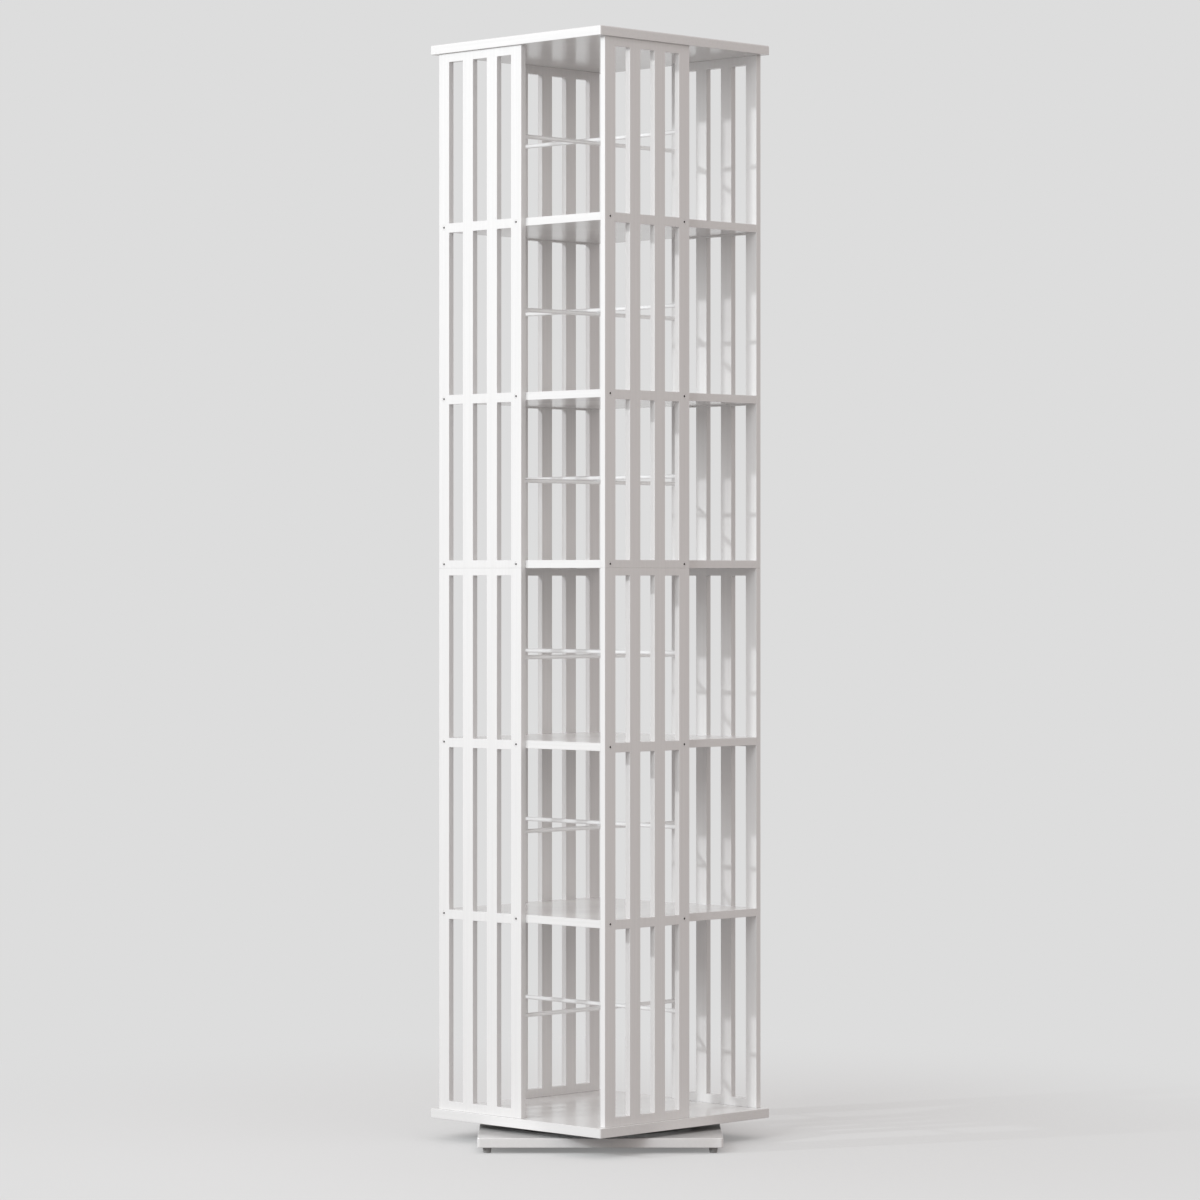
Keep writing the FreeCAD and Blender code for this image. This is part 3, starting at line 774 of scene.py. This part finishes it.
class MEDIA_TOWER_OT_panels(bpy.types.Operator):
    """Builds the slatted panels, drilled for their screws, rods and dowels"""

    bl_idname = "media_tower.panels"
    bl_label = "Slatted Panels"

    def windows(self, part, sizes, low, high):
        """Lower and upper edges of a panel's windows, above its foot."""
        upper = part == "upper"
        edges = [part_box("shelf_3")[1].z if upper else low + sizes.end_rail]
        for shelf in PANEL_RAILS[part]:
            shelf_low, shelf_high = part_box(f"shelf_{shelf}")
            edges += [shelf_low.z - sizes.rail_drop, shelf_high.z]
        edges.append(high - (sizes.end_rail if upper else sizes.seam_rail))
        return [edge - low for edge in edges]

    def holes(self, part, face, sizes, fittings, size, low):
        """Seats of the screws, sockets of the rods and holes in the panel's two ends."""
        width, thickness, height = size
        ends = (sizes.slat_width / 2, width - sizes.slat_width / 2)
        pitch = sizes.slat_pitch(width)
        inner = (ends[0] + pitch, ends[1] - pitch)
        spare = fittings.end_clearance
        screw = fittings.bore("screw")
        dowel = fittings.bore("dowel")
        steps = (fittings.seat("screw"), (screw, thickness + spare))
        found = []
        for shelf in PANEL_SCREWS[part]:
            level = middle_of(f"shelf_{shelf}_screws").z - low
            found += [hole_at((across, 0.0, level), OPENS_FORWARD, *steps) for across in ends]
        way = ROD_WAYS[FACES[face] % len(ROD_WAYS)]
        for tier in PANEL_TIERS[part]:
            node = f"tier_{tier}_rod_{way}"
            rod_low, rod_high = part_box(node)
            radius = (rod_high.z - rod_low.z) / 2 + fittings.clearance
            spot = (ends[1], thickness, middle_of(node).z - low)
            found.append(hole_at(spot, OPENS_BACK, (radius, sizes.rod_hole)))
        seam = (inner, (dowel, fittings.dowel_length / 2 + spare))
        if part == "upper":
            below = seam
            above = (ends, (dowel, fittings.dowel_length - fittings.dowel_in_board + spare))
        else:
            board_low, board_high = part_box("bottom_board")
            below = (ends, (screw, fittings.screw_length - (board_high.z - board_low.z) + spare))
            above = seam
        for (spots, step), level, opens in ((below, 0.0, OPENS_DOWN), (above, height, OPENS_UP)):
            found += [hole_at((across, thickness / 2, level), opens, step) for across in spots]
        return found

    def execute(self, context):
        sizes, fittings = settings(context)
        finish = lacquer_finish("White lacquer upright", UPRIGHT_GRAIN)
        tree = slatted_panel_tree(2 * len(PANEL_TIERS["lower"]))
        for part in PANEL_TIERS:
            corner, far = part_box(f"{part}_panel_front")
            size = far - corner
            edges = enumerate(self.windows(part, sizes, corner.z, far.z), start=1)
            values = {
                "Slat Width": sizes.slat_width,
                "Slat Pitch": sizes.slat_pitch(size.x),
                "Slat Count": sizes.slat_count,
                "Thickness": size.y,
                "Height": size.z,
                "Finish": finish,
                **{f"Window Edge {number}": edge for number, edge in edges},
            }
            for face, quarter in FACES.items():
                name = f"slatted_panel_{part}_{face}"
                work = grown(name, tree, values)
                rounding = work.modifiers.new("Edges", "BEVEL")
                rounding.width = sizes.panel_edge
                rounding.segments = EDGE_STEPS
                rounding.limit_method = "ANGLE"
                mesh = drill(work, self.holes(part, face, sizes, fittings, size, corner.z))
                turn = Matrix.Rotation(quarter * math.pi / 2, 4, "Z")
                mesh.transform(turn @ Matrix.Translation(corner))
                settle(mesh, name, finish, f"{part}_panel_{face}")
        return {"FINISHED"}


class MEDIA_TOWER_OT_shelves(bpy.types.Operator):
    """Builds the five shelves, drilled in their edges for the panel screws"""

    bl_idname = "media_tower.shelves"
    bl_label = "Shelves"

    def execute(self, context):
        sizes, fittings = settings(context)
        finish = lacquer_finish("White lacquer level", LEVEL_GRAIN)
        panel_low, panel_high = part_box("upper_panel_front")
        depth = fittings.screw_length - (panel_high.y - panel_low.y) + fittings.end_clearance
        step = (fittings.bore("screw"), depth)
        edge = sizes.shelf_edge
        for shelf in SHELVES:
            node = f"shelf_{shelf}"
            name = f"shelf_board_{shelf}"
            low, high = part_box(node)
            mesh = board_mesh(node, high.x - low.x, edge, edge, edge)
            level = middle_of(node).z
            holes = [hole_at((across, low.y, level), OPENS_FORWARD, step)
                     for across in sizes.end_slats()]
            settle(drill(move_to_scene(mesh), around(holes, len(FACES))), name, finish, node)
        return {"FINISHED"}


class MEDIA_TOWER_OT_boards(bpy.types.Operator):
    """Builds the top board, the bottom board and the base plate"""

    bl_idname = "media_tower.boards"
    bl_label = "Boards and Base"

    def execute(self, context):
        sizes, fittings = settings(context)
        level = lacquer_finish("White lacquer boards", LEVEL_GRAIN)
        middle = middle_of("upper_panel_front").y
        ends = sizes.end_slats()
        small = fittings.bore("small")
        spare = fittings.end_clearance
        corner = sizes.board_corner
        edge = sizes.board_edge
        faces = len(FACES)

        low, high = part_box("top_board")
        side = high.x - low.x
        mesh = board_mesh("top_board", side, corner, edge, sizes.top_edge)
        step = (fittings.bore("dowel"), fittings.dowel_in_board + spare)
        holes = [hole_at((across, middle, low.z), OPENS_DOWN, step) for across in ends]
        mesh = drill(move_to_scene(mesh), around(holes, faces))
        settle(mesh, "top_board_lacquered", level, "top_board")

        low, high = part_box("bottom_board")
        mesh = board_mesh("bottom_board", side, corner, edge, edge)
        steps = (fittings.seat("screw"), (fittings.bore("screw"), high.z - low.z + OVERSHOOT))
        holes = [hole_at((across, middle, low.z), OPENS_DOWN, *steps) for across in ends]
        holes = around(holes, faces)
        ring_low, ring_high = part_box("turntable_turning_ring")
        into_board = (small, fittings.small_length - (ring_high.z - ring_low.z) + spare)
        hole = hole_at((sizes.ring_middle(1), 0.0, low.z), OPENS_DOWN, into_board)
        holes += around([hole], fittings.small_screw_count)
        mesh = drill(move_to_scene(mesh), holes)
        settle(mesh, "bottom_board_lacquered", level, "bottom_board")
        # Painted shade: the faces under the bottom board take the near-black finish, so the gap
        # over the base looks darker.
        mesh.materials.append(plain_finish("sealer"))
        for face in mesh.polygons:
            if face.normal.z < FACES_DOWN and face.center.z < low.z + OVERSHOOT:
                face.material_index = 1

        turned = lacquer_finish("White lacquer base", LEVEL_GRAIN, sizes.base_angle)
        low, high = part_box("base_plate")
        edge = sizes.base_edge
        mesh = board_mesh("base_plate", side, sizes.base_corner, edge, edge)
        mesh.transform(Matrix.Rotation(sizes.base_angle, 4, "Z"))
        step = (small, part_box("foot_screws")[1].z - low.z + spare)
        holes = around([hole_at((sizes.foot_reach, 0.0, low.z), OPENS_DOWN, step)], faces)
        hole = hole_at((sizes.ring_middle(-1), 0.0, high.z), OPENS_UP, into_board)
        holes += around([hole], fittings.small_screw_count, sizes.base_angle)
        settle(drill(move_to_scene(mesh), holes), "base_plate_lacquered", turned, "base_plate")
        return {"FINISHED"}


class MEDIA_TOWER_OT_rods(bpy.types.Operator):
    """Builds the two crossing rods of each tier"""

    bl_idname = "media_tower.rods"
    bl_label = "Rods"

    def execute(self, context):
        ease = context.scene.media_tower_fittings.ease
        pearl = context.scene.media_tower_finishes.enamel_pearl
        finish = plain_finish("enamel", metallic=pearl)
        laid_down = (OPENS_FORWARD, Matrix.Rotation(math.pi / 2, 4, "Y"))
        for tier in TIERS:
            for way, turn in zip(ROD_WAYS, laid_down):
                node = f"tier_{tier}_rod_{way}"
                low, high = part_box(node)
                radius = (high.z - low.z) / 2
                half = max(high - low) / 2
                mesh = loft(node, rod_rings(radius, -half, half, ease))
                mesh.transform(Matrix.Translation(middle_of(node)) @ turn)
                settle(smooth(mesh), f"enamelled_rod_{tier}_{way}", finish, node)
        return {"FINISHED"}


class MEDIA_TOWER_OT_fittings(bpy.types.Operator):
    """Builds the screws, dowels and bearing balls around the turning axis"""

    bl_idname = "media_tower.fittings"
    bl_label = "Screws, Dowels and Balls"

    def execute(self, context):
        sizes, fittings = settings(context)
        tree = fittings_tree()
        # Near-black for the socket faces: dark bare steel, and partly painted shade of the recess.
        socket = plain_finish("socket")
        kinds = {
            "screw": (screw_mesh(fittings, "screw"), "screw"),
            "small": (screw_mesh(fittings, "small"), "zinc"),
            "dowel": (dowel_mesh(fittings), "beech"),
            "ball": (ball_mesh(sizes.ball_diameter), "bearing"),
        }
        shapes = {kind: (move_to_scene(mesh), plain_finish(finish))
                  for kind, (mesh, finish) in kinds.items()}
        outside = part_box("upper_panel_front")[0].y
        middle = middle_of("upper_panel_front").y
        first, last = sizes.end_slats()
        pitch = (last - first) / (sizes.slat_count - 1)
        ring_screws = fittings.small_screw_count
        faces = len(FACES)
        head_forward = math.pi / 2
        head_down = math.pi

        def pair(deep, level, inset=0.0):
            """Two spots on the front face, in its end slats or further in."""
            return [(first + inset, deep, level), (last - inset, deep, level)]

        def lay(node, name, kind, repeats, spots, tilt=0.0, start=0.0):
            """Lays out one set of fittings and sets it in place of its node."""
            shape, finish = shapes[kind]
            work = grown(name, tree, {
                "Fitting": shape, "Repeats": repeats, "Spots": len(spots),
                "First Spot": spots[0], "Second Spot": spots[-1], "Tilt": tilt, "Start": start,
                "Finish": finish, "Socket Finish": socket,
            })
            mesh = plain_mesh(work, name)
            mark = mesh.attributes.get(SOCKET_MARK)
            if mark:
                mesh.attributes.remove(mark)
            settle(smooth(mesh), name, None, node)

        for shelf in SHELVES:
            node = f"shelf_{shelf}_screws"
            spots = pair(outside, middle_of(node).z)
            lay(node, f"panel_screws_{shelf}", "screw", faces, spots, head_forward)
        spots = pair(middle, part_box("bottom_board")[0].z)
        lay("bottom_board_screws", "floor_screws", "screw", faces, spots, head_down)
        spot = (sizes.foot_reach, 0.0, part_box("foot_screws")[0].z)
        lay("foot_screws", "foot_screws_zinc", "small", faces, [spot], head_down)
        spot = (sizes.ring_middle(-1), 0.0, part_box("turntable_fixed_ring")[1].z)
        lay("fixed_ring_screws", "fixed_ring_screws_zinc", "small", ring_screws, [spot],
            start=sizes.base_angle)
        spot = (sizes.ring_middle(1), 0.0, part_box("turntable_turning_ring")[0].z)
        lay("turning_ring_screws", "turning_ring_screws_zinc", "small", ring_screws, [spot],
            head_down)
        spots = pair(middle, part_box("top_dowels")[0].z)
        lay("top_dowels", "top_dowels_beech", "dowel", faces, spots)
        spots = pair(middle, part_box("seam_dowels")[0].z, pitch)
        lay("seam_dowels", "seam_dowels_beech", "dowel", faces, spots)
        spot = (sizes.race_radius, 0.0, middle_of("turntable_balls").z)
        lay("turntable_balls", "bearing_balls", "ball", sizes.ball_count, [spot])
        for shape, _ in shapes.values():
            bpy.data.objects.remove(shape)
        return {"FINISHED"}


class MEDIA_TOWER_OT_turntable(bpy.types.Operator):
    """Builds the turntable's two rings and finishes its ball cage"""

    bl_idname = "media_tower.turntable"
    bl_label = "Turntable"

    def ring_profile(self, sizes, inner, outer, low, high, race):
        """Section of a ring with chamfered edges and a ball groove, from its foot outwards."""
        ease = sizes.ring_edge
        groove = sizes.ball_diameter / 2 + ease * GROOVE_PLAY
        reach = math.asin(sizes.ring_gap / 2 / groove)
        steps = 2 * ARC_STEPS
        turns = [reach + (math.pi - 2 * reach) * step / steps for step in range(steps + 1)]
        arc = [(groove * math.sin(turn), groove * math.cos(turn)) for turn in turns]
        outside = [(outer - ease, low), (outer, low + ease),
                   (outer, high - ease), (outer - ease, high)]
        inside = [(inner + ease, high), (inner, high - ease),
                  (inner, low + ease), (inner + ease, low)]
        if outer < sizes.race_radius:
            outside[2:2] = [(sizes.race_radius - in_, race - up) for in_, up in arc]
        else:
            inside[2:2] = [(sizes.race_radius + out, race + up) for out, up in arc]
        return outside + inside

    def execute(self, context):
        sizes, fittings = settings(context)
        finish = aluminium_finish()
        race = middle_of("turntable_balls").z
        half = sizes.ring_width / 2
        for kind, side, opens, start in (("fixed", -1, OPENS_UP, sizes.base_angle),
                                         ("turning", 1, OPENS_DOWN, 0.0)):
            node = f"turntable_{kind}_ring"
            low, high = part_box(node)
            middle = sizes.ring_middle(side)
            profile = self.ring_profile(sizes, middle - half, middle + half, low.z, high.z, race)
            mesh = loft(node, [ring(*point, RING_STEPS) for point in profile], closed=True)
            through = (fittings.bore("small"), high.z - low.z + OVERSHOOT)
            level = high.z if opens is OPENS_UP else low.z
            hole = hole_at((middle, 0.0, level), opens, fittings.seat("small"), through)
            mesh = drill(move_to_scene(mesh), around([hole], fittings.small_screw_count, start))
            settle(smooth(mesh), f"{kind}_ring_turned", finish, node)
        cage = frame["nodes"]["ball_cage"].data
        cage.materials.clear()
        cage.materials.append(plain_finish("nylon"))
        return {"FINISHED"}


class MEDIA_TOWER_OT_feet(bpy.types.Operator):
    """Builds the four tapered rubber feet with their screw recesses"""

    bl_idname = "media_tower.feet"
    bl_label = "Feet"

    def execute(self, context):
        sizes, fittings = settings(context)
        finish = plain_finish("rubber")
        recess = fittings.bore("small_head")
        hole = fittings.bore("small")
        tip = sizes.foot_tip / 2
        edge = sizes.foot_edge
        fine = edge / 2
        for face in FACES:
            node = f"foot_{face}"
            low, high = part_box(node)
            middle = middle_of(node)
            wide = (high.x - low.x) / 2
            profile = [(tip - inset, low.z + rise) for inset, rise in quarter_round(edge)]
            profile += [(wide - inset, high.z - drop)
                        for inset, drop in reversed(quarter_round(fine))]
            profile += [(hole, high.z), (hole, sizes.foot_recess), (recess, sizes.foot_recess),
                        (recess, fine), (recess + fine, low.z)]
            mesh = loft(node, [ring(*point) for point in profile], closed=True)
            mesh.transform(Matrix.Translation((middle.x, middle.y, 0.0)))
            settle(smooth(mesh), f"rubber_foot_{face}", finish, node)
        return {"FINISHED"}


class MEDIA_TOWER_OT_stage(bpy.types.Operator):
    """Sets the floor, the backdrop, the lights and the camera"""

    bl_idname = "media_tower.stage"
    bl_label = "Studio"

    def seen(self, tree):
        """One for the rays that see the backdrop, nought for those that only carry light."""
        rays = tree.nodes.new("ShaderNodeLightPath").outputs
        shown = math_node(tree, "MAXIMUM", rays["Is Camera Ray"], rays["Is Glossy Ray"])
        return math_node(tree, "MAXIMUM", shown, rays["Is Transmission Ray"])

    def add_world(self, context, studio):
        world = bpy.data.worlds.new("Studio")
        world.use_nodes = True
        context.scene.world = world
        tree = world.node_tree
        tree.nodes.clear()
        light = add_node(tree, "ShaderNodeBackground",
                         {"Color": (*studio.sky_colour, 1.0), "Strength": studio.sky})
        backdrop = add_node(tree, "ShaderNodeBackground",
                            {"Color": (*studio.backdrop, 1.0), "Strength": 1.0})
        mixed = add_node(tree, "ShaderNodeMixShader", {0: self.seen(tree), 1: light, 2: backdrop})
        add_node(tree, "ShaderNodeOutputWorld", {"Surface": mixed})

    def add_floor(self, studio):
        """A pale floor that keeps the tower's shadow and turns into the backdrop further out."""
        finish, tree, shader, coordinates = start_finish("Studio floor")
        grain = noise(tree, coordinates, scale=40.0, detail=3.0)
        connect(tree, shader, {
            "Base Color": tint(tree, grain, studio.floor, low=0.998, high=1.002),
            "Roughness": 0.9,
            "Specular IOR Level": 0.0,
        })
        reach = math_node(tree, "DIVIDE", span(tree, coordinates), studio.shadow_far)
        fade = tree.nodes.new("ShaderNodeValToRGB")
        fade.color_ramp.interpolation = "EASE"
        fade.color_ramp.elements.new(studio.shadow_near / studio.shadow_far)
        stops = (
            (studio.contact_reach, studio.contact_depth),
            (studio.shadow_near, studio.shadow_depth),
            (studio.shadow_far, 0.0),
        )
        for stop, (at, depth) in zip(fade.color_ramp.elements, stops):
            stop.position = at / studio.shadow_far
            stop.color = (1.0 - depth, 1.0 - depth, 1.0 - depth, 1.0)
        tree.links.new(reach, fade.inputs["Fac"])
        glow = add_node(tree, "ShaderNodeEmission", {"Color": (*studio.backdrop, 1.0)})
        shown = add_node(tree, "ShaderNodeMixShader",
                         {0: fade.outputs["Color"], 1: shader.outputs[0], 2: glow})
        bounce = add_node(tree, "ShaderNodeBsdfDiffuse", {"Color": (*studio.floor_bounce, 1.0)})
        mixed = add_node(tree, "ShaderNodeMixShader", {0: self.seen(tree), 1: bounce, 2: shown})
        tree.links.new(mixed, tree.nodes["Material Output"].inputs["Surface"])
        mesh = bpy.data.meshes.new("studio_floor")
        rim = ring(studio.floor_radius, 0.0, 2 * ROUND_STEPS)
        mesh.from_pydata(rim, [], [tuple(range(len(rim)))])
        mesh.materials.append(finish)
        move_to_scene(mesh)

    def add_lamp(self, studio, name, kind, key):
        """A lamp that faces the middle of the tower."""
        lamp = bpy.data.lights.new(name, kind)
        lamp.energy = getattr(studio, key)
        lamp.color = getattr(studio, f"{key}_colour")
        if kind == "AREA":
            lamp.size = studio.box_size
        else:
            lamp.shadow_soft_size = studio.key_radius
        light = bpy.data.objects.new(name, lamp)
        light.location = getattr(studio, f"{key}_place")
        middle = (CAD_BOX[0] + CAD_BOX[1]) / 2
        light.rotation_euler = (light.location - middle).to_track_quat("Z", "Y").to_euler()
        bpy.context.scene.collection.objects.link(light)

    def add_camera(self, context, studio):
        camera = bpy.data.cameras.new("Camera")
        camera.lens = studio.camera_lens
        camera.shift_y = studio.camera_shift
        camera.clip_end = 2 * studio.floor_radius
        viewer = bpy.data.objects.new("Camera", camera)
        turn = studio.camera_azimuth
        reach = studio.camera_distance
        viewer.location = (reach * math.sin(turn), -reach * math.cos(turn), studio.camera_height)
        viewer.rotation_euler = (math.pi / 2, 0.0, turn)
        context.scene.collection.objects.link(viewer)
        context.scene.camera = viewer

    def execute(self, context):
        studio = context.scene.media_tower_studio
        self.add_world(context, studio)
        self.add_floor(studio)
        for lamp in LAMPS:
            self.add_lamp(studio, *lamp)
        self.add_camera(context, studio)
        context.scene.view_settings.view_transform = "Standard"
        return {"FINISHED"}


BUILD_ORDER = (
    MEDIA_TOWER_OT_panels,
    MEDIA_TOWER_OT_shelves,
    MEDIA_TOWER_OT_boards,
    MEDIA_TOWER_OT_rods,
    MEDIA_TOWER_OT_fittings,
    MEDIA_TOWER_OT_turntable,
    MEDIA_TOWER_OT_feet,
    MEDIA_TOWER_OT_stage,
)
SETTINGS = {
    "media_tower_sizes": TowerSizes,
    "media_tower_fittings": FittingSizes,
    "media_tower_finishes": TowerFinishes,
    "media_tower_studio": StudioSettings,
}


class MEDIA_TOWER_PT_sidebar(bpy.types.Panel):
    """Lists the build steps and the settings behind them"""

    bl_idname = "MEDIA_TOWER_PT_sidebar"
    bl_label = "Media Tower"
    bl_space_type = "VIEW_3D"
    bl_region_type = "UI"
    bl_category = "Media Tower"

    def draw(self, context):
        layout = self.layout
        for step in BUILD_ORDER:
            layout.operator(step.bl_idname)
        for name, group in SETTINGS.items():
            box = layout.box()
            box.label(text=group.__doc__)
            for key in group.__annotations__:
                box.prop(getattr(context.scene, name), key)


CLASSES = (*SETTINGS.values(), *BUILD_ORDER, MEDIA_TOWER_PT_sidebar)


def register():
    for one in CLASSES:
        bpy.utils.register_class(one)
    for name, group in SETTINGS.items():
        setattr(bpy.types.Scene, name, PointerProperty(type=group))


def unregister():
    for name in SETTINGS:
        delattr(bpy.types.Scene, name)
    for one in reversed(CLASSES):
        bpy.utils.unregister_class(one)


def main():
    register()
    bpy.ops.media_tower.panels()
    bpy.ops.media_tower.shelves()
    bpy.ops.media_tower.boards()
    bpy.ops.media_tower.rods()
    bpy.ops.media_tower.fittings()
    bpy.ops.media_tower.turntable()
    bpy.ops.media_tower.feet()
    bpy.ops.media_tower.stage()


if __name__ == "__main__":
    main()
